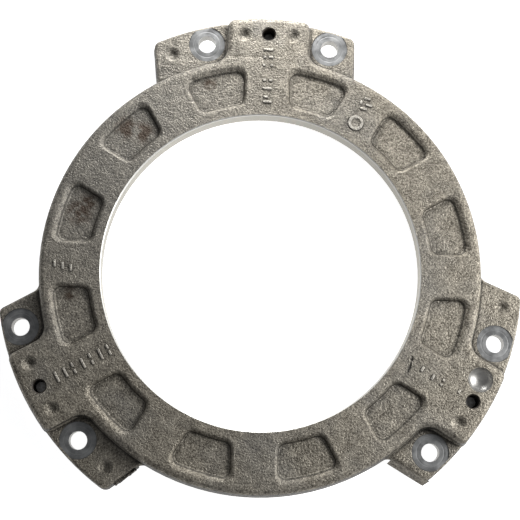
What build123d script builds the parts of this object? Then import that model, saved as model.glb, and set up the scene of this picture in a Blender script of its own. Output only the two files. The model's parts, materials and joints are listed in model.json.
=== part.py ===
from build123d import *
import os
from math import cos, radians, sin, tan

os.makedirs("parts", exist_ok=True)

# A clutch pressure plate: a grey-iron ring casting with three mounting lugs, and a dowel
# pin pressed into each lug. All sizes are in millimetres and degrees.
# The origin lies on the bore axis in the plane of the friction face. +Z points to the
# cast face, and the centre line of the top lug lies along +Y.

# Ring
bore_diameter = 150.0
ring_diameter = 211.2
plate_thickness = 10.0        # friction face to cast face
draft_angle = 8.0             # walls lean in towards the cast face
rolled_edge = 3.0             # radius along the outer edge of the cast face
bore_chamfer = 0.4            # on the cast face only

# Machined back
pad_drop = 4.0                # the lug pads stand this far in front of the friction face
friction_run_out = 1.0        # the friction face is turned this far beyond the ring
friction_slope = 0.8          # how much wider that turned space is at the lug pads

# Lugs, each with a full-height block between two lower ledges
lug_names = ("top", "right", "left")    # clockwise, seen on the cast face
lug_reach = 20.0              # from the ring to the outer edge of a lug
block_width = 42.8
block_corner = 5.0
block_fillet = 6.0            # where the block runs into the ring
ledge_height = 2.9            # above the friction face
ledge_set_back = 0.5          # from the outer wall of the block
ledge_edge = 1.2
ledge_corner = 4.0
ledge_fillet = 4.0            # where the ledge runs into the ring
ledge_overlap = 0.2           # how far inside the ring wall the ledges begin
short_ledge = 42.9            # lug centre line to the flank of the short ledge
long_ledge = 53.8             # lug centre line to the foot of the long ledge's flank
long_flank_lean = 7.5

# Bolt holes and dowels
bolt_margin = 10.1            # from the outer edge of a lug to the bolt circle
bolt_angle = 15.0             # each side of the lug centre line
bolt_hole = 8.5               # clearance for M8
spot_face = 17.5
spot_face_depth = 0.4
dowel_diameter = 6.0
dowel_length = 11.0
dowel_stand_out = 4.0         # beyond the lug pad
dowel_end_chamfer = 0.6
dowel_mouth_chamfer = 0.5

# Pockets cast between straight ribs
pocket_count = 12
pocket_depth = 2.2
pocket_inner_margin = 4.8     # from the bore
pocket_outer_margin = 6.2     # from the outside of the ring
rib_width = 20.0
pocket_corner_share = 0.23    # of the radial width of a pocket
pocket_inner_slope = 1.8      # run of each sloping wall
pocket_outer_slope = 2.8
pocket_side_slope = 1.3

# Small marks of casting and balancing
dimple_diameter = 5.0
dimple_depth = 1.1
block_dimple_angle = 5.9      # each side of the lug centre line
ledge_dimple_angle = 23.7
balanced_lug = "right"
balance_angle = 5.3
balance_inset = 1.5           # in from the bolt circle
balance_drill = 11.6
balance_drill_depth = 1.8     # at full width
balance_drill_point = 118.0
gate_stub_width = 1.6         # what is left of the in-gate, on the same lug
gate_stub_height = 5.6        # above the lug pad
gate_stub_lip = 1.0

ring_radius = ring_diameter / 2
bore_radius = bore_diameter / 2
lug_radius = ring_radius + lug_reach
lug_height = pad_drop + plate_thickness
ledge_radius = lug_radius - ledge_set_back
bolt_circle_radius = lug_radius - bolt_margin
pocket_inner_radius = bore_radius + pocket_inner_margin
pocket_outer_radius = ring_radius - pocket_outer_margin
spot_face_height = ledge_height - spot_face_depth
lug_angles = {name: -360 / len(lug_names) * place for place, name in enumerate(lug_names)}
upright = (Align.CENTER, Align.CENTER, Align.MIN)
downward = (Align.CENTER, Align.CENTER, Align.MAX)


def at_radius(radius):
    """A test for vertices that lie on a circle about the bore axis."""
    return lambda vertex: abs((vertex.X**2 + vertex.Y**2) ** 0.5 - radius) < 0.01


def on_each_lug(shape):
    return [Rot(Z=angle) * shape for angle in lug_angles.values()]


def plate_blank():
    """Ring and lug blocks at full height, with drafted walls and a rolled top edge."""
    block = Pos(0, lug_radius / 2) * Rectangle(block_width, lug_radius)
    blocks = Circle(lug_radius) & (Sketch() + on_each_lug(block))
    outline = Circle(ring_radius) + blocks
    outline = fillet(outline.vertices().filter_by(at_radius(ring_radius)), block_fillet)
    outline = fillet(outline.vertices().filter_by(at_radius(lug_radius)), block_corner)
    blank = extrude(Pos(0, 0, -pad_drop) * outline, lug_height, taper=draft_angle)
    return fillet(blank.edges().group_by(Axis.Z)[-1], rolled_edge)


def ledge_plate():
    """The lower ledges of all lugs, joined by a disc that lies inside the ring."""
    disc_radius = ring_radius - ledge_overlap
    foot = (disc_radius**2 - long_ledge**2) ** 0.5
    lean = (ledge_radius - foot) * tan(radians(long_flank_lean))
    ledge = Polygon(
        (0, 0),
        (short_ledge, foot),
        (short_ledge, ledge_radius),
        (-long_ledge - lean, ledge_radius),
        (-long_ledge, foot),
        align=None,
    )
    outline = Circle(disc_radius) + (Circle(ledge_radius) & (Sketch() + on_each_lug(ledge)))
    outline = fillet(outline.vertices().filter_by(at_radius(disc_radius)), ledge_fillet)
    outline = fillet(outline.vertices().filter_by(at_radius(ledge_radius)), ledge_corner)
    plate = extrude(Pos(0, 0, -pad_drop) * outline, pad_drop + ledge_height, taper=draft_angle)
    return chamfer(plate.edges().group_by(Axis.Z)[-1], ledge_edge)


def gate_stub():
    """What is left of the in-gate along the flank of one short ledge."""
    flank = Polygon(
        (short_ledge - gate_stub_width, -pad_drop),
        (short_ledge + gate_stub_width, -pad_drop),
        (short_ledge + gate_stub_width, gate_stub_lip - pad_drop),
        (short_ledge - gate_stub_width, gate_stub_height - pad_drop),
        align=None,
    )
    foot = (ring_radius**2 - short_ledge**2) ** 0.5
    stub = Pos(0, foot, 0) * extrude(Plane.XZ * flank, foot - ledge_radius)
    rim = Cylinder(ledge_radius, 2 * lug_height)
    return Rot(Z=lug_angles[balanced_lug]) * (stub & rim)


def friction_recess():
    """The turned space in front of the friction face, between the lugs."""
    radius = ring_radius + friction_run_out
    return Cone(radius + 2 * friction_slope, radius, 2 * pad_drop, align=downward)


def hole_cutter(radius, mouth_chamfer):
    """A through hole about the Z axis with a chamfer at its mouth on the cast face."""
    hole = Cylinder(radius, 2 * lug_height)
    mouth = Pos(0, 0, plate_thickness - mouth_chamfer) * Cone(
        radius, radius + 2 * mouth_chamfer, 2 * mouth_chamfer, align=upright
    )
    return hole + mouth


def pocket_face(inner_radius, outer_radius, half_rib):
    """An annular sector between two straight ribs, centred on +Y, with rounded corners."""
    half_pitch = radians(180 / pocket_count)
    apex = half_rib / sin(half_pitch)
    reach = 2 * outer_radius
    wedge = Polygon(
        (0, apex),
        (reach * sin(half_pitch), apex + reach * cos(half_pitch)),
        (-reach * sin(half_pitch), apex + reach * cos(half_pitch)),
        align=None,
    )
    face = (Circle(outer_radius) - Circle(inner_radius)) & wedge
    return fillet(face.vertices(), pocket_corner_share * (outer_radius - inner_radius))


def pockets():
    """The shallow pockets, each wall with a slope of its own."""
    mouth = pocket_face(pocket_inner_radius, pocket_outer_radius, rib_width / 2)
    floor = pocket_face(
        pocket_inner_radius + pocket_inner_slope,
        pocket_outer_radius - pocket_outer_slope,
        rib_width / 2 + pocket_side_slope,
    )
    floor = Pos(0, 0, plate_thickness - pocket_depth) * floor
    mouth = Pos(0, 0, plate_thickness) * mouth
    pocket = loft([floor, mouth], ruled=True)
    pitch = 360 / pocket_count
    return [Rot(Z=(place + 0.5) * pitch) * pocket for place in range(pocket_count)]


def dimple():
    """A conical pit with its mouth in the XY plane."""
    return Cone(0, dimple_diameter, 2 * dimple_depth)


def on_bolt_circle(angle, height=0):
    """A place on the bolt circle of the top lug, at an angle from its centre line."""
    return Rot(Z=angle) * Pos(0, bolt_circle_radius, height)


def dimples(lug):
    """Two pits on the block and one on the long ledge; balancing drilled one away."""
    places = [
        on_bolt_circle(-block_dimple_angle, plate_thickness),
        on_bolt_circle(ledge_dimple_angle, ledge_height),
    ]
    if lug != balanced_lug:
        places.append(on_bolt_circle(block_dimple_angle, plate_thickness))
    return [place * dimple() for place in places]


def bolt_hole_cutter():
    """Bolt hole and spot face of a ledge, about the Z axis."""
    hole = Cylinder(bolt_hole / 2, 2 * lug_height)
    face = Cylinder(spot_face / 2, plate_thickness, align=upright)
    return hole + Pos(0, 0, spot_face_height) * face


def balance_hole():
    """A shallow hole that ends in the cone of the drill point, with its mouth in the XY plane."""
    radius = balance_drill / 2
    point = radius / tan(radians(balance_drill_point / 2))
    cone = Cone(0, radius, point, align=downward)
    return Cylinder(radius, 2 * balance_drill_depth) + Pos(0, 0, -balance_drill_depth) * cone


def lug_cutters(lug):
    """Everything that is drilled, reamed, spot-faced or cast into one lug."""
    dowel_hole = hole_cutter(dowel_diameter / 2, dowel_mouth_chamfer)
    cutters = [
        on_bolt_circle(bolt_angle) * bolt_hole_cutter(),
        on_bolt_circle(-bolt_angle) * bolt_hole_cutter(),
        on_bolt_circle(0) * dowel_hole,
        *dimples(lug),
    ]
    if lug == balanced_lug:
        place = on_bolt_circle(balance_angle, plate_thickness) * Pos(0, -balance_inset, 0)
        cutters.append(place * balance_hole())
    return [Rot(Z=lug_angles[lug]) * cutter for cutter in cutters]


def casting():
    """The whole iron casting, machined."""
    body = plate_blank() + ledge_plate() + gate_stub() - friction_recess()
    body = body - pockets() - hole_cutter(bore_radius, bore_chamfer)
    for lug in lug_names:
        body = body - lug_cutters(lug)
    return body


def dowel_pin():
    """A parallel pin with chamfered ends, pressed into the top lug from the back."""
    pin = Cylinder(dowel_diameter / 2, dowel_length, align=upright)
    pin = chamfer(pin.edges().filter_by(GeomType.CIRCLE), dowel_end_chamfer)
    return on_bolt_circle(0, -pad_drop - dowel_stand_out) * pin


export_step(casting(), "parts/pressure_plate_casting.step")
for lug, angle in lug_angles.items():
    export_step(Rot(Z=angle) * dowel_pin(), f"parts/dowel_pin_{lug}.step")
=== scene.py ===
import json
from math import cos, radians, sin
import bpy
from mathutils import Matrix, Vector

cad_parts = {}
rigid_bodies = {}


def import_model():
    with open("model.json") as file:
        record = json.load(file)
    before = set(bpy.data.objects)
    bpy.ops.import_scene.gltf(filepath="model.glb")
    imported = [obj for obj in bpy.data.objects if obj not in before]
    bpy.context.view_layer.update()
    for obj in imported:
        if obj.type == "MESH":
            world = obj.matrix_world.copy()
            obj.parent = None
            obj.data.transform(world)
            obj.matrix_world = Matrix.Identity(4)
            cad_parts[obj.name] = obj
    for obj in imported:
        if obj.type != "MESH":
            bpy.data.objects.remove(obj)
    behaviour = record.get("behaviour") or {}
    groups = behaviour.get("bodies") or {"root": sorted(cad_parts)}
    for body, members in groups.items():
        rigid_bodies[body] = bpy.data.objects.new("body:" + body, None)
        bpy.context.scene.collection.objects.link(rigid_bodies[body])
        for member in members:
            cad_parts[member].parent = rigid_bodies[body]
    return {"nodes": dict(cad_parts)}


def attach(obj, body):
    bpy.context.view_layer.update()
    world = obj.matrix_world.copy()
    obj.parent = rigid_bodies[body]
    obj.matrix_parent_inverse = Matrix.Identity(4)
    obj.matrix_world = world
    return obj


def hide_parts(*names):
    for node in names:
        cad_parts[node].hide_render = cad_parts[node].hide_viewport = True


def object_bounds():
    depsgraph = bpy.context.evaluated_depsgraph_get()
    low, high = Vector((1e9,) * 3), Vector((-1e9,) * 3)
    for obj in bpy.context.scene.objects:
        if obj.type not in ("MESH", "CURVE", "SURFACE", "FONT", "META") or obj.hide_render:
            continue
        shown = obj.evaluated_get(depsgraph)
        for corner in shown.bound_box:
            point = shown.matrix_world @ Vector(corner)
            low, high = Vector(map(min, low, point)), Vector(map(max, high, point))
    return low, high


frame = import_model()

# A clutch pressure plate: one iron casting with its three dowel pins, and on it the foundry's
# small raised marks and a bit of flash. Lengths are in metres. The friction face lies at height
# 0, the cast face looks up, and the centre line of the top lug points along +Y.

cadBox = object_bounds()
mm = 0.001
print("frame loaded:", ", ".join(sorted(frame["nodes"])))

# The frame's own places, as the solids have them

heights = {
    "castFace": 10 * mm,
    "pocketFloor": 7.8 * mm,
    "ledge": 2.9 * mm,
    "spotFace": 2.5 * mm,
    "friction": 0,
    "pad": -4 * mm,
}
lugAngles = {"top": 0, "right": -120, "left": 120}    # counter-clockwise, seen on the cast face
pocketBand = {"inner": 79 * mm, "outer": 100 * mm}    # just past the mouths of the pockets
boltCircle = 115.5 * mm
boltSides = (15, -15)
boltAngles = [lug + side for lug in lugAngles.values() for side in boltSides]
drilling = {"angle": -114.7, "radius": 114 * mm}      # the balancer's hole in the right lug


def onPlate(angle, radius, height=0):
    # angle in degrees counter-clockwise from the top lug
    return Vector((-radius * sin(radians(angle)), radius * cos(radians(angle)), height))


def onLug(lug, across, out, height):
    # across is measured clockwise from the lug's centre line, out from the bore axis
    turn = radians(lugAngles[lug])
    x = across * cos(turn) - out * sin(turn)
    y = across * sin(turn) + out * cos(turn)
    return Vector((x, y, height))


class Wire:
    # one output of a node; sums and products of wires add their Math nodes
    def __init__(self, shader, socket):
        self.shader = shader
        self.socket = socket

    def math(self, operation, *values):
        inputs = {0: self, **{place + 1: value for place, value in enumerate(values)}}
        return self.shader.node("Math", {"operation": operation}, inputs)

    def __add__(self, other):
        return self.math("ADD", other)

    def __sub__(self, other):
        return self.math("SUBTRACT", other)

    def __rsub__(self, other):
        return (self * -1).math("ADD", other)

    def __mul__(self, other):
        return self.math("MULTIPLY", other)

    def ramp(self, low, high, atLow=0, atHigh=1):
        # straight from atLow to atHigh while this goes from low to high
        limits = {"From Min": low, "From Max": high, "To Min": atLow, "To Max": atHigh}
        return self.shader.node("MapRange", {}, {"Value": self, **limits})

    def ring(self, radius, width):
        # 1 where this equals the radius, 0 a width away from it
        return (self - radius).math("ABSOLUTE").ramp(0, width, 1, 0)

    def least(self, other):
        return self.math("MINIMUM", other)

    def most(self, other):
        return self.math("MAXIMUM", other)


class Shader:
    # a material under construction
    def __init__(self, name):
        self.material = bpy.data.materials.new(name)
        self.material.use_nodes = True
        self.tree = self.material.node_tree
        self.tree.nodes.clear()

    def node(self, kind, settings, inputs, output=0):
        made = self.tree.nodes.new("ShaderNode" + kind)
        for name, value in settings.items():
            setattr(made, name, value)
        for name, value in inputs.items():
            if isinstance(value, Wire):
                self.tree.links.new(value.socket, made.inputs[name])
            else:
                made.inputs[name].default_value = value
        return Wire(self, made.outputs[output]) if made.outputs else None

    def vector(self, operation, inputs, output=0):
        return self.node("VectorMath", {"operation": operation}, inputs, output)

    def place(self):
        return self.node("TexCoord", {}, {}, "Object")

    def noise(self, size, detail, roughness=0.5, stretch=(1, 1, 1), shift=(0, 0, 0)):
        # size is the width of one blotch in metres
        spot = self.node(
            "Mapping", {}, {"Vector": self.place(), "Location": shift, "Scale": stretch}
        )
        inputs = {"Vector": spot, "Scale": 1 / size, "Detail": detail, "Roughness": roughness}
        return self.node("TexNoise", {}, inputs)

    def grooves(self, along, pitch):
        # tool marks that repeat with no fixed beat along a distance
        inputs = {"W": along, "Scale": 1 / pitch, "Detail": 2, "Roughness": 0.6}
        return self.node("TexNoise", {"noise_dimensions": "1D"}, inputs)

    def gap(self, spot):
        # the distance from a spot
        return self.vector("DISTANCE", {0: self.place(), 1: tuple(spot)}, "Value")

    def nearest(self, spots, reaches):
        # the distance from the nearest spot, in parts of that spot's reach
        gaps = [self.gap(spot) * (1 / reach) for spot, reach in zip(spots, reaches)]
        closest = gaps[0]
        for gap in gaps[1:]:
            closest = closest.least(gap)
        return closest

    def shelter(self, reach):
        # 1 in the open, towards 0 where walls within reach close the place in
        return self.node("AmbientOcclusion", {"samples": 12}, {"Distance": reach}, "AO")

    def lineGap(self, start, end):
        # the distance from a straight line between two spots
        run = end - start
        away = self.vector("SUBTRACT", {0: self.place(), 1: tuple(start)})
        share = self.vector("DOT_PRODUCT", {0: away, 1: tuple(run / run.length_squared)}, "Value")
        foot = self.vector("SCALE", {0: tuple(run), "Scale": share.ramp(0, 1)})
        return self.vector("LENGTH", {0: self.vector("SUBTRACT", {0: away, 1: foot})}, "Value")

    def axisGap(self):
        # the distance from the bore axis
        flat = self.vector("MULTIPLY", {0: self.place(), 1: (1, 1, 0)})
        return self.vector("LENGTH", {0: flat}, "Value")

    def height(self):
        return self.node("SeparateXYZ", {}, {0: self.place()}, 2)

    def steepness(self):
        # 0 on a level face, 1 on an upright wall
        facing = self.node("NewGeometry", {}, {}, "Normal")
        return 1 - self.node("SeparateXYZ", {}, {0: facing}, 2).math("ABSOLUTE")

    def blend(self, share, low, high):
        # from the colour low to the colour high
        return self.node("Mix", {"data_type": "RGBA"}, {0: share, 6: low, 7: high}, 2)

    def bump(self, height, distance, strength):
        return self.node("Bump", {}, {"Height": height, "Distance": distance, "Strength": strength})

    def finish(self, inputs):
        surface = self.node("BsdfPrincipled", {}, inputs)
        self.node("OutputMaterial", {}, {"Surface": surface})
        return self.material


castSkin = {
    "dark": (0.085, 0.073, 0.056, 1),
    "pale": (0.39, 0.355, 0.29, 1),
    "blue": (0.17, 0.172, 0.172, 1),
    # painted shade in corners, on flanks and in the pits; also the dark of the cold shut
    "shadeAndGrime": (0.022, 0.02, 0.017, 1),
    "rust": (0.05, 0.028, 0.016, 1),
    # painted highlight on the tops of the raised marks
    "highlight": (0.62, 0.59, 0.53, 1),
    "grain": 1.0 * mm,
    "sand": 0.5 * mm,
    "swell": 4.5 * mm,
    "cloud": 24 * mm,
    "relief": 0.9 * mm,
    "metallic": 0.6,
}
coolSide = {      # the bluer side of the ring
    "middle": onPlate(55, 100 * mm),
    "full": 30 * mm,
    "none": 120 * mm,
    "share": 0.35,
}
shadeAndGrime = {         # how much painted shade lies where
    "crevice": 0.88,
    "creviceReach": 2.6 * mm,
    "seam": 0.95,
    "seamReach": 0.9 * mm,
    "flank": 0.85,
    "foot": 0.7,                # along the foot of a pocket's wall
    "footHeight": 0.6 * mm,     # above the pocket's floor
    "footWidth": 0.5 * mm,
    "footFade": 1 * mm,         # beyond the pockets
}
markHighlight = {           # painted highlight: the raised marks are paler near their tops
    "from": 0.2 * mm,           # above the cast face
    "full": 0.45 * mm,
    "share": 0.4,
}
rustFleck = 4 * mm
rustSpots = [     # on the floors of the pockets
    {"angle": 45, "radius": 94 * mm, "reach": 7 * mm},
    {"angle": 42, "radius": 87 * mm, "reach": 7 * mm},
    {"angle": 74, "radius": 90 * mm, "reach": 8 * mm},
    {"angle": 70, "radius": 87.5 * mm, "reach": 6 * mm},
    {"angle": 99, "radius": 89.5 * mm, "reach": 4.5 * mm},
    {"angle": 17, "radius": 94 * mm, "reach": 4 * mm},
]
dimpleAngles = {      # of the round pits in each lug, from its centre line
    "castFace": (-5.9, 5.9),
    "ledge": (23.7,),
}
dimpleSkin = {"radius": 3.6 * mm, "hollow": 2.6, "pitShade": 0.5}
lapWander = {"size": 2.5 * mm, "reach": 0.4 * mm}
laps = {          # where two tongues of iron met in the mould
    "coldShut": {           # in the right lug
        "start": onPlate(-118.1, 81.2 * mm, heights["castFace"]),
        "end": onPlate(-122.9, 83.1 * mm, heights["castFace"]),
        "colour": "shadeAndGrime",
        "share": 0.9,
        "edge": 0.9 * mm,
        "core": 0.3 * mm,
        "hollow": 0.8,
        "slope": 0.8 * mm,
    },
    "crease": {             # faint, across the top lug
        "start": onLug("top", -19 * mm, 103.6 * mm, heights["castFace"]),
        "end": onLug("top", -2 * mm, 103.9 * mm, heights["castFace"]),
        "colour": "dark",
        "share": 0.35,
        "edge": 0.8 * mm,
        "core": 0.2 * mm,
        "hollow": 0.25,
        "slope": 1.4 * mm,
    },
}


def dimplePlaces():
    return [
        onPlate(lug + angle, boltCircle, heights[level])
        for lug in lugAngles.values()
        for level, angles in dimpleAngles.items()
        for angle in angles
        if abs(lug + angle - drilling["angle"]) > 1     # that one is drilled away
    ]


def bareIron(s, shade):
    # dark and pale grains, bluer in clouds and on one side of the ring
    tint = s.blend(shade.ramp(0.4, 0.61), castSkin["dark"], castSkin["pale"])
    cloud = s.noise(castSkin["cloud"], detail=3).ramp(0.45, 0.7, 0, 0.3)
    away = s.gap(coolSide["middle"])
    cool = away.ramp(coolSide["none"], coolSide["full"], 0, coolSide["share"])
    return s.blend(cloud.most(cool), tint, castSkin["blue"])


def rustOver(s, tint):
    gap = s.nearest(
        [onPlate(spot["angle"], spot["radius"], heights["pocketFloor"]) for spot in rustSpots],
        [spot["reach"] for spot in rustSpots],
    )
    fleck = s.noise(rustFleck, detail=4, shift=(3, 1, 0)).ramp(0.34, 0.52)
    return s.blend(gap.ramp(1, 0.4) * fleck * 0.8, tint, castSkin["rust"])


def paintedShadeOver(s, tint):
    # painted shade, darker in every corner and crevice, along the foot of the pockets' walls
    # and on the steep flanks
    # painted shade from nearby walls, from steepness and along the pockets' feet
    crevice = s.shelter(shadeAndGrime["creviceReach"]).ramp(0.95, 0.68) * shadeAndGrime["crevice"]
    seam = s.shelter(shadeAndGrime["seamReach"]).ramp(0.85, 0.6) * shadeAndGrime["seam"]
    flank = s.steepness().ramp(0.45, 0.75) * shadeAndGrime["flank"]
    foot = s.height().ring(heights["pocketFloor"] + shadeAndGrime["footHeight"], shadeAndGrime["footWidth"])
    foot = foot.ramp(0, 0.6, 0, shadeAndGrime["foot"])
    foot = foot * s.axisGap().ramp(pocketBand["outer"] + shadeAndGrime["footFade"], pocketBand["outer"])
    return s.blend(crevice.most(flank).most(foot).most(seam), tint, castSkin["shadeAndGrime"])


def highlightMarks(s, tint):
    # painted highlight: paler near the tops of the marks
    top = heights["castFace"]
    proud = s.height().ramp(top + markHighlight["from"], top + markHighlight["full"])
    return s.blend(proud * markHighlight["share"], tint, castSkin["highlight"])


def castIron():
    s = Shader("castIron")
    grain = s.noise(castSkin["grain"], detail=3, roughness=0.6)
    sand = s.noise(castSkin["sand"], detail=1, shift=(1, 2, 3))
    swell = s.noise(castSkin["swell"], detail=2, shift=(0, 4, 0))
    speckle = grain * 0.65 + sand * 0.35
    tint = rustOver(s, bareIron(s, speckle * 0.8 + swell * 0.2))
    places = dimplePlaces()
    pit = s.nearest(places, [dimpleSkin["radius"]] * len(places))
    relief = speckle + swell * 0.8 + pit.ramp(0, 1, -dimpleSkin["hollow"], 0)
    wander = s.noise(lapWander["size"], detail=2, shift=(5, 0, 0))
    wander = wander.ramp(0.3, 0.7, -lapWander["reach"], lapWander["reach"])
    for lap in laps.values():
        gap = s.lineGap(lap["start"], lap["end"]) + wander
        share = gap.ramp(lap["edge"], lap["core"], 0, lap["share"])
        tint = s.blend(share, tint, castSkin[lap["colour"]])
        relief = relief + gap.ramp(0, lap["slope"], -lap["hollow"], 0)
    # painted shade: the pits darker towards their middles
    tint = s.blend(pit.ramp(0.9, 0.1, 0, dimpleSkin["pitShade"]), tint, castSkin["shadeAndGrime"])
    tint = highlightMarks(s, paintedShadeOver(s, tint))
    return s.finish({
        "Base Color": tint,
        "Metallic": castSkin["metallic"],
        "Roughness": speckle.ramp(0.35, 0.65, 0.62, 0.42),
        "Normal": s.bump(relief, castSkin["relief"], 0.7),
    })


spotFaceSkin = {
    "dark": (0.14, 0.142, 0.142, 1),
    "pale": (0.36, 0.363, 0.36, 1),
    # painted shade for the rim of the spot face
    "edge": (0.06, 0.06, 0.058, 1),
    "feed": 0.3 * mm,
    "film": 4 * mm,
    "print": 6.4 * mm,          # radius of the ring that a bolt head leaves
    "printWidth": 0.35 * mm,
    "rimShadeFrom": 8.25 * mm,       # painted shade: the dark rim along the spot face's wall
    "rimShadeFull": 8.65 * mm,
    "relief": 0.3 * mm,
}


def spotFaceIron():
    s = Shader("spotFaceIron")
    middles = [onPlate(angle, boltCircle, heights["spotFace"]) for angle in boltAngles]
    gap = s.nearest(middles, [1] * len(middles))
    turning = s.grooves(gap, spotFaceSkin["feed"])
    film = s.noise(spotFaceSkin["film"], detail=3)
    shade = turning * 0.4 + film.ramp(0.35, 0.65, 0, 0.6)
    tint = s.blend(shade, spotFaceSkin["dark"], spotFaceSkin["pale"])
    pressed = gap.ring(spotFaceSkin["print"], spotFaceSkin["printWidth"])
    tint = s.blend(pressed * 0.35, tint, spotFaceSkin["pale"])
    # painted shade: darker at the rim, where the spot face meets its wall
    rimShade = gap.ramp(spotFaceSkin["rimShadeFrom"], spotFaceSkin["rimShadeFull"])
    tint = s.blend(rimShade * 0.6, tint, spotFaceSkin["edge"])
    relief = turning * 0.15 - pressed * 0.3
    return s.finish({
        "Base Color": tint,
        "Metallic": 0.7,
        "Roughness": film.ramp(0.3, 0.7, 0.36, 0.5),
        "Normal": s.bump(relief, spotFaceSkin["relief"], 0.5),
    })


turnedSkin = {
    "dark": (0.26, 0.245, 0.21, 1),
    "pale": (0.50, 0.48, 0.42, 1),
    # painted highlight: the bore wall paler just below its mouth
    "mouthHighlight": (0.72, 0.72, 0.70, 1),
    "mouthHighlightFrom": 1.6 * mm,      # below the mouth of the bore
    "mouthHighlightFull": 1.0 * mm,
    "feed": 0.35 * mm,
    "film": 9 * mm,
    "relief": 0.06 * mm,
}


def turnedIron():
    # the friction face and the bore wall, cut on one lathe
    s = Shader("turnedIron")
    height = s.height()
    feed = s.grooves(s.axisGap() + height, turnedSkin["feed"])
    film = s.noise(turnedSkin["film"], detail=3)
    tint = s.blend(feed.ramp(0.3, 0.7) * 0.7 + film * 0.3, turnedSkin["dark"], turnedSkin["pale"])
    # painted highlight on the bore wall just below its mouth
    mouth = heights["castFace"]
    mouthHighlight = height.ramp(mouth - turnedSkin["mouthHighlightFrom"], mouth - turnedSkin["mouthHighlightFull"])
    tint = s.blend(mouthHighlight * 0.7, tint, turnedSkin["mouthHighlight"])
    return s.finish({
        "Base Color": tint,
        "Metallic": 0.8,
        "Roughness": feed.ramp(0.3, 0.7, 0.34, 0.5),
        "Normal": s.bump(feed, turnedSkin["relief"], 0.5),
    })


groundSkin = {
    "dark": (0.20, 0.20, 0.195, 1),
    "pale": (0.50, 0.495, 0.48, 1),
    "lay": 0.5 * mm,
    "film": 7 * mm,
    "relief": 0.05 * mm,
}


def groundIron():
    # the lug pads, ground flat in one pass
    s = Shader("groundIron")
    lay = s.noise(groundSkin["lay"], detail=3, stretch=(1, 0.05, 1))
    film = s.noise(groundSkin["film"], detail=3)
    tint = s.blend(lay * 0.6 + film * 0.4, groundSkin["dark"], groundSkin["pale"])
    return s.finish({
        "Base Color": tint,
        "Metallic": 0.85,
        "Roughness": lay.ramp(0.3, 0.7, 0.3, 0.46),
        "Normal": s.bump(lay, groundSkin["relief"], 0.5),
    })


drilledSkin = {
    "dark": (0.20, 0.192, 0.18, 1),
    "pale": (0.66, 0.65, 0.62, 1),
    "swirl": 0.5 * mm,
    "film": 3 * mm,
    "relief": 0.08 * mm,
}


def drilledIron():
    # bolt holes and the balancer's shallow hole
    s = Shader("drilledIron")
    centre = onPlate(drilling["angle"], drilling["radius"], heights["castFace"])
    swirl = s.grooves(s.gap(centre), drilledSkin["swirl"])
    film = s.noise(drilledSkin["film"], detail=3)
    tint = s.blend(swirl * 0.4 + film * 0.6, drilledSkin["dark"], drilledSkin["pale"])
    return s.finish({
        "Base Color": tint,
        "Metallic": 0.7,
        "Roughness": film.ramp(0.3, 0.7, 0.34, 0.5),
        "Normal": s.bump(swirl, drilledSkin["relief"], 0.4),
    })


# painted shade for the deep dowel holes
holeShadeSkin = {
    "dark": (0.012, 0.01, 0.008, 1),
    "pale": (0.06, 0.048, 0.036, 1),
    "film": 1.2 * mm,
    "relief": 0.05 * mm,
}


def holeShadeIron():
    # the reamed walls of the dowel holes, painted near-black: painted shade deep in the holes
    s = Shader("holeShadeIron")
    film = s.noise(holeShadeSkin["film"], detail=3)
    tint = s.blend(film.ramp(0.3, 0.7), holeShadeSkin["dark"], holeShadeSkin["pale"])
    return s.finish({
        "Base Color": tint,
        "Metallic": 0.3,
        "Roughness": film.ramp(0.3, 0.7, 0.5, 0.7),
        "Normal": s.bump(film, holeShadeSkin["relief"], 0.4),
    })


steelSkin = {
    "dark": (0.13, 0.12, 0.11, 1),
    "pale": (0.36, 0.355, 0.34, 1),
    "lay": 0.15 * mm,
    "film": 1.5 * mm,
    "relief": 0.04 * mm,
}


def dowelSteel():
    s = Shader("dowelSteel")
    film = s.noise(steelSkin["film"], detail=3)
    lay = s.grooves(s.height(), steelSkin["lay"])
    tint = s.blend(film.ramp(0.35, 0.65), steelSkin["dark"], steelSkin["pale"])
    return s.finish({
        "Base Color": tint,
        "Metallic": 0.9,
        "Roughness": film.ramp(0.3, 0.7, 0.25, 0.45),
        "Normal": s.bump(film + lay * 0.5, steelSkin["relief"], 0.4),
    })


castingSkins = {
    "cast": castIron(),
    "turned": turnedIron(),
    "ground": groundIron(),
    "spotFaced": spotFaceIron(),
    "drilled": drilledIron(),
    "shadedHole": holeShadeIron(),
}
dowelSkin = dowelSteel()
print("materials made:", len(bpy.data.materials))


def deselectAll():
    for thing in bpy.context.view_layer.objects:
        thing.select_set(False)


def takeUp(piece):
    deselectAll()
    piece.select_set(True)
    bpy.context.view_layer.objects.active = piece


def copyOfNode(node, name):
    piece = bpy.data.objects.new(name, frame["nodes"][node].data.copy())
    bpy.context.scene.collection.objects.link(piece)
    piece.data.materials.clear()
    takeUp(piece)
    return piece


cutReach = {      # how far each cut goes from its own axis, with a little to spare
    "bore": 75.6 * mm,
    "friction": 107.5 * mm,
    "drilling": 5.85 * mm,
    "dowelHole": 3.6 * mm,
    "boltHole": 4.3 * mm,
    "spotFace": 8.8 * mm,
}
heightSlack = 0.05 * mm


def nearOne(corners, places, reach):
    # whether all corners lie within reach of one of the places, seen along the bore axis
    return any(all((corner.xy - place.xy).length < reach for corner in corners) for place in places)


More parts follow.
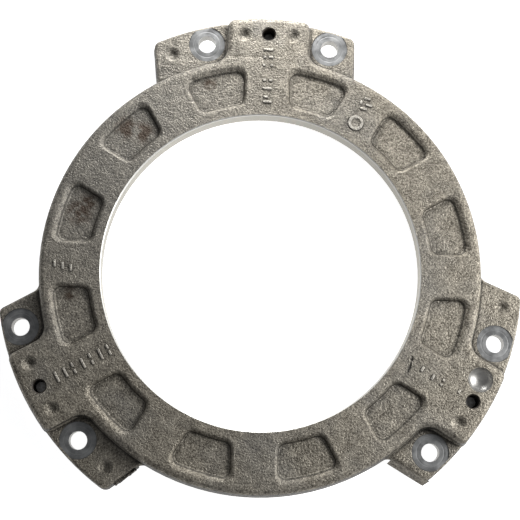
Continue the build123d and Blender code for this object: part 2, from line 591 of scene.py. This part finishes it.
def cutOf(corners):
    # which cut made a triangle of the casting, from the places of its corners
    lowest = min(corner.z for corner in corners)
    highest = max(corner.z for corner in corners)
    widest = max(corner.xy.length for corner in corners)
    dowelHoles = [onPlate(angle, boltCircle) for angle in lugAngles.values()]
    boltHoles = [onPlate(angle, boltCircle) for angle in boltAngles]
    if widest < cutReach["bore"]:
        return "turned"
    if highest < heights["friction"] + heightSlack and widest < cutReach["friction"]:
        return "turned"
    if highest < heights["pad"] + heightSlack:
        return "ground"
    if nearOne(corners, [onPlate(drilling["angle"], drilling["radius"])], cutReach["drilling"]):
        return "drilled"
    if nearOne(corners, dowelHoles, cutReach["dowelHole"]):
        return "shadedHole"
    if nearOne(corners, boltHoles, cutReach["boltHole"]):
        return "drilled"
    level = heights["ledge"]
    sunk = lowest < level - heightSlack and highest < level + heightSlack
    if sunk and nearOne(corners, boltHoles, cutReach["spotFace"]):
        return "spotFaced"
    return "cast"


castingFinish = {
    # degrees between two faces
    "flatWithin": 0.5,
    "sharpFrom": 12,
    "smoothUpTo": 50,
    # how far the pockets' edges are rounded
    "pocketMouth": 0.9 * mm,
    "pocketFloor": 0.3 * mm,
    # what counts as one place or one level
    "weld": 0.001 * mm,
    "levelWithin": 0.01 * mm,
}


def roundEdges(piece, wanted, width):
    # rounds the sharp edges of a piece that have both ends where they are wanted
    bpy.ops.object.mode_set(mode="EDIT")
    bpy.ops.mesh.select_mode(type="EDGE")
    bpy.ops.mesh.select_all(action="DESELECT")
    bpy.ops.mesh.edges_select_sharp(sharpness=radians(castingFinish["sharpFrom"]))
    bpy.ops.object.mode_set(mode="OBJECT")
    mesh = piece.data
    kept = []
    for edge in mesh.edges:
        ends = [mesh.vertices[end].co for end in edge.vertices]
        kept.append(edge.select and all(wanted(end) for end in ends))
    for group in (mesh.vertices, mesh.edges, mesh.polygons):
        group.foreach_set("select", [False] * len(group))
    mesh.edges.foreach_set("select", kept)
    bpy.ops.object.mode_set(mode="EDIT")
    # unclamped, the bevel is full everywhere, but folds over a few slivers beside the pockets
    bpy.ops.mesh.bevel(offset=width, segments=3, profile=0.5, clamp_overlap=False)
    bpy.ops.object.mode_set(mode="OBJECT")
    print("rounded", sum(kept), "edges of", piece.name)


def onPocketMouth(spot):
    level = abs(spot.z - heights["castFace"]) < castingFinish["levelWithin"]
    return level and pocketBand["inner"] < spot.xy.length < pocketBand["outer"]


def onPocketFloor(spot):
    level = abs(spot.z - heights["pocketFloor"]) < castingFinish["levelWithin"]
    return level and spot.xy.length < pocketBand["outer"]


casting = copyOfNode("pressure_plate_casting", "casting")
for skin in castingSkins.values():
    casting.data.materials.append(skin)
bpy.ops.object.mode_set(mode="EDIT")
bpy.ops.mesh.select_all(action="SELECT")
bpy.ops.mesh.remove_doubles(threshold=castingFinish["weld"])
bpy.ops.object.mode_set(mode="OBJECT")
skinOrder = list(castingSkins)
for face in casting.data.polygons:
    corners = [casting.data.vertices[number].co for number in face.vertices]
    face.material_index = skinOrder.index(cutOf(corners))
bpy.ops.object.mode_set(mode="EDIT")
bpy.ops.mesh.select_all(action="SELECT")
flatAngle = radians(castingFinish["flatWithin"])
bpy.ops.mesh.dissolve_limited(angle_limit=flatAngle, delimit={"MATERIAL"})
bpy.ops.object.mode_set(mode="OBJECT")
roundEdges(casting, onPocketMouth, castingFinish["pocketMouth"])
roundEdges(casting, onPocketFloor, castingFinish["pocketFloor"])
bpy.ops.object.shade_smooth_by_angle(angle=radians(castingFinish["smoothUpTo"]))
skinsAtEdge = {}
for face in casting.data.polygons:
    for ends in face.edge_keys:
        skinsAtEdge.setdefault(ends, set()).add(face.material_index)
for edge in casting.data.edges:
    if len(skinsAtEdge[edge.key]) > 1:     # a cut face meets another kind of face
        edge.use_edge_sharp = True
weigh = casting.modifiers.new("weigh", "WEIGHTED_NORMAL")
weigh.keep_sharp = True
bpy.ops.object.modifier_apply(modifier="weigh")
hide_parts("pressure_plate_casting")
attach(casting, "root")
for name, node in frame["nodes"].items():
    if name.startswith("dowel_pin"):
        node.data.materials.clear()
        node.data.materials.append(dowelSkin)
print("casting dressed:", len(casting.data.polygons), "faces")

# The foundry's marks: plain raised pips and bars with no meaning, in a row on each lug and
# small groups on two ribs

pip = {
    "stand": 0.5 * mm,        # above the cast face
    "sink": 0.3 * mm,         # below it
    "width": 1.4 * mm,
    "soft": 0.4 * mm,         # half a bar's height, so its upright sides have none left
    "smoothUpTo": 60,         # degrees between two faces
}
plug = {
    "angle": -30.5,
    "out": 84.5 * mm,
    "radius": 3.7 * mm,
    "sides": 28,
    "dish": 0.3 * mm,         # depth of the sunk middle
    "soft": 0.16 * mm,        # its two bevels cross by 0.02 mm on the wall of the dish
}
lugRows = {
    # how far out each mark lies, and the places and lengths of its bars across the lug,
    # in millimetres
    "top": [
        (107.6, [(0, 5.0)]),
        (103.8, [(-1.6, 1.6), (1.4, 2.6)]),
        (99.8, [(-1.8, 1.5), (1.8, 1.5)]),
        (92.2, [(-1.5, 1.6), (1.6, 2.0)]),
        (88.2, [(0, 4.6)]),
        (84.0, [(-0.6, 2.4)]),
        (81.6, [(0.3, 4.4)]),
    ],
    "left": [
        (106.4, [(0, 5.6)]),
        (102.0, [(0, 5.0)]),
        (97.8, [(-1.7, 2.4), (1.7, 2.4)]),
        (93.0, [(0, 5.4)]),
        (88.8, [(-1.7, 2.4), (1.7, 2.4)]),
        (84.0, [(0, 5.6)]),
        (79.8, [(-1.6, 2.4), (1.6, 2.4)]),
    ],
    "right": [
        (107.8, [(-0.6, 2.2)]),
        (99.0, [(-1.2, 1.6), (1.2, 1.4)]),
        (94.0, [(0.2, 3.2)]),
        (88.0, [(-0.4, 3.0)]),
    ],
}
ribMarks = [
    # angle, how far out, length and turn of each bar, in degrees and millimetres
    (-29.6, 97.6, 3.2, -9),
    (-31.0, 95.2, 3.4, -11),
    (-28.6, 94.6, 2.2, 70),
    (-30.2, 92.4, 3.4, -9),
    (90.2, 96.4, 3.6, 90),
    (90.8, 92.6, 3.6, 91),
    (91.4, 88.8, 3.6, 91),
]


def castBar(centre, length, turn):
    # a soft-edged bar lying on the cast face
    bpy.ops.mesh.primitive_cube_add(size=1, location=centre, rotation=(0, 0, radians(turn)))
    bar = bpy.context.active_object
    bar.scale = (length, pip["width"], pip["stand"] + pip["sink"])
    bpy.ops.object.transform_apply(location=False, rotation=False, scale=True)
    bpy.ops.object.mode_set(mode="EDIT")
    bpy.ops.mesh.select_all(action="SELECT")
    bpy.ops.mesh.bevel(offset=pip["soft"], segments=2)
    bpy.ops.object.mode_set(mode="OBJECT")
    return bar


def castRing(centre):
    # a low disc with a sunk middle, such as a round plug in the mould leaves
    bpy.ops.mesh.primitive_cylinder_add(
        vertices=plug["sides"],
        radius=plug["radius"],
        depth=pip["stand"] + pip["sink"],
        location=centre,
        end_fill_type="NGON",
    )
    disc = bpy.context.active_object
    bpy.ops.object.mode_set(mode="EDIT")
    bpy.ops.mesh.select_mode(type="FACE")
    bpy.ops.mesh.select_all(action="DESELECT")
    bpy.ops.object.mode_set(mode="OBJECT")
    for face in disc.data.polygons:
        face.select = face.normal.z > 0.9     # the top alone
    bpy.ops.object.mode_set(mode="EDIT")
    bpy.ops.mesh.inset(thickness=pip["width"])
    bpy.ops.mesh.extrude_region_move(TRANSFORM_OT_translate={"value": (0, 0, -plug["dish"])})
    bpy.ops.mesh.select_all(action="SELECT")
    bpy.ops.mesh.bevel(offset=plug["soft"], segments=2)
    bpy.ops.object.mode_set(mode="OBJECT")
    return disc


deselectAll()
barHeight = heights["castFace"] + (pip["stand"] - pip["sink"]) / 2
marks = []
for lug, rows in lugRows.items():
    for out, bars in rows:
        for across, length in bars:
            centre = onLug(lug, across * mm, out * mm, barHeight)
            marks.append(castBar(centre, length * mm, lugAngles[lug]))
for angle, out, length, turn in ribMarks:
    marks.append(castBar(onPlate(angle, out * mm, barHeight), length * mm, turn))
marks.append(castRing(onPlate(plug["angle"], plug["out"], barHeight)))
deselectAll()
for mark in marks:
    mark.select_set(True)
bpy.context.view_layer.objects.active = marks[0]
bpy.ops.object.join()
castMarks = bpy.context.active_object
castMarks.name = "castMarks"
bpy.ops.object.transform_apply(location=True, rotation=True, scale=True)
bpy.ops.object.shade_smooth_by_angle(angle=radians(pip["smoothUpTo"]))
castMarks.data.materials.append(castingSkins["cast"])
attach(castMarks, "root")
print("marks cast:", len(marks))

flash = {         # iron that ran into the mould's joint, left on the flank of one lug
    "start": onPlate(147.6, 119.5 * mm),
    "end": onPlate(149.6, 108.5 * mm),
    "width": 1.8 * mm,
    "bottom": heights["pad"] + 1.0 * mm,
    "top": heights["ledge"] - 1.4 * mm,
    "cuts": 9,
    "rough": 0.8 * mm,        # over the mesh's spacing across the seam, so faces fold
    "ease": 0.3,
    "smoothUpTo": 35,         # degrees between two faces
}

deselectAll()
flashRun = flash["end"] - flash["start"]
flashMiddle = (flash["start"] + flash["end"]) / 2
flashMiddle.z = (flash["bottom"] + flash["top"]) / 2
bpy.ops.mesh.primitive_cube_add(size=1, location=flashMiddle)
castFlash = bpy.context.active_object
castFlash.name = "castFlash"
castFlash.scale = (flashRun.length, flash["width"], flash["top"] - flash["bottom"])
castFlash.rotation_euler.z = flashRun.xy.angle_signed(Vector((1, 0)))
bpy.ops.object.transform_apply(location=True, rotation=True, scale=True)
bpy.ops.object.mode_set(mode="EDIT")
bpy.ops.mesh.select_all(action="SELECT")
bpy.ops.mesh.subdivide(number_cuts=flash["cuts"])
bpy.ops.transform.vertex_random(offset=flash["rough"], seed=7)
bpy.ops.mesh.vertices_smooth(factor=flash["ease"])
bpy.ops.object.mode_set(mode="OBJECT")
bpy.ops.object.shade_smooth_by_angle(angle=radians(flash["smoothUpTo"]))
castFlash.data.materials.append(castingSkins["cast"])
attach(castFlash, "root")
print("flash cast:", len(castFlash.data.polygons), "faces")

studio = {
    "floorSize": 12.0,
    "floorDrop": 0.1 * mm,      # below the pins' ends
    "floorWhite": (0.86, 0.86, 0.86, 1),
    "floorGlow": 0.86,          # seen straight or mirrored; it lights nothing
    "worldWhite": (0.18, 0.183, 0.19, 1),
}
softboxes = {
    "keySoftbox": {"place": (0.45, 0.0, 0.25), "size": 0.25, "power": 3.0},
    "topSoftbox": {"place": (0.0, 0.27, 0.10), "size": 0.12, "power": 0.95},
}
view = {
    "place": (-8.673 * mm, -90.646 * mm, 587.698 * mm),
    "turn": (9.343, -1.1287, 1.9562),     # degrees about X, Y and Z
    "lens": 86.507,
    "sensor": 36,
    "clipFrom": 0.01,
}

floorHeight = cadBox[0].z - studio["floorDrop"]
bpy.ops.mesh.primitive_plane_add(size=studio["floorSize"], location=(0, 0, floorHeight))
floor = bpy.context.active_object
floor.name = "floor"
paper = Shader("paper")
seen = paper.node("LightPath", {}, {}, "Is Camera Ray")
for kind in ("Is Glossy Ray", "Is Transmission Ray"):
    seen = seen.most(paper.node("LightPath", {}, {}, kind))
matt = paper.node("BsdfDiffuse", {}, {"Color": studio["floorWhite"]})
glow = paper.node("Emission", {}, {"Color": (1, 1, 1, 1), "Strength": studio["floorGlow"]})
lit = paper.node("AddShader", {}, {0: matt, 1: glow})
paper.node("OutputMaterial", {}, {
    "Surface": paper.node("MixShader", {}, {0: seen, 1: matt, 2: lit}),
})
floor.data.materials.append(paper.material)

world = bpy.data.worlds.new("studio")
bpy.context.scene.world = world
world.use_nodes = True
surround = world.node_tree.nodes["Background"]
surround.inputs["Color"].default_value = studio["worldWhite"]
surround.inputs["Strength"].default_value = 1.0

for name, box in softboxes.items():
    # a square lamp that faces the middle of the plate
    bpy.ops.object.light_add(type="AREA", location=box["place"])
    lamp = bpy.context.active_object
    lamp.name = name
    lamp.data.size = box["size"]
    lamp.data.energy = box["power"]
    lamp.rotation_euler = (-Vector(box["place"])).to_track_quat("-Z", "Y").to_euler()

bpy.ops.object.camera_add()
camera = bpy.context.active_object
camera.location = view["place"]
camera.rotation_euler = [radians(angle) for angle in view["turn"]]
camera.data.sensor_width = view["sensor"]
camera.data.lens = view["lens"]
camera.data.clip_start = view["clipFrom"]
bpy.context.scene.camera = camera
bpy.context.scene.view_settings.view_transform = "Standard"

print("stage set")
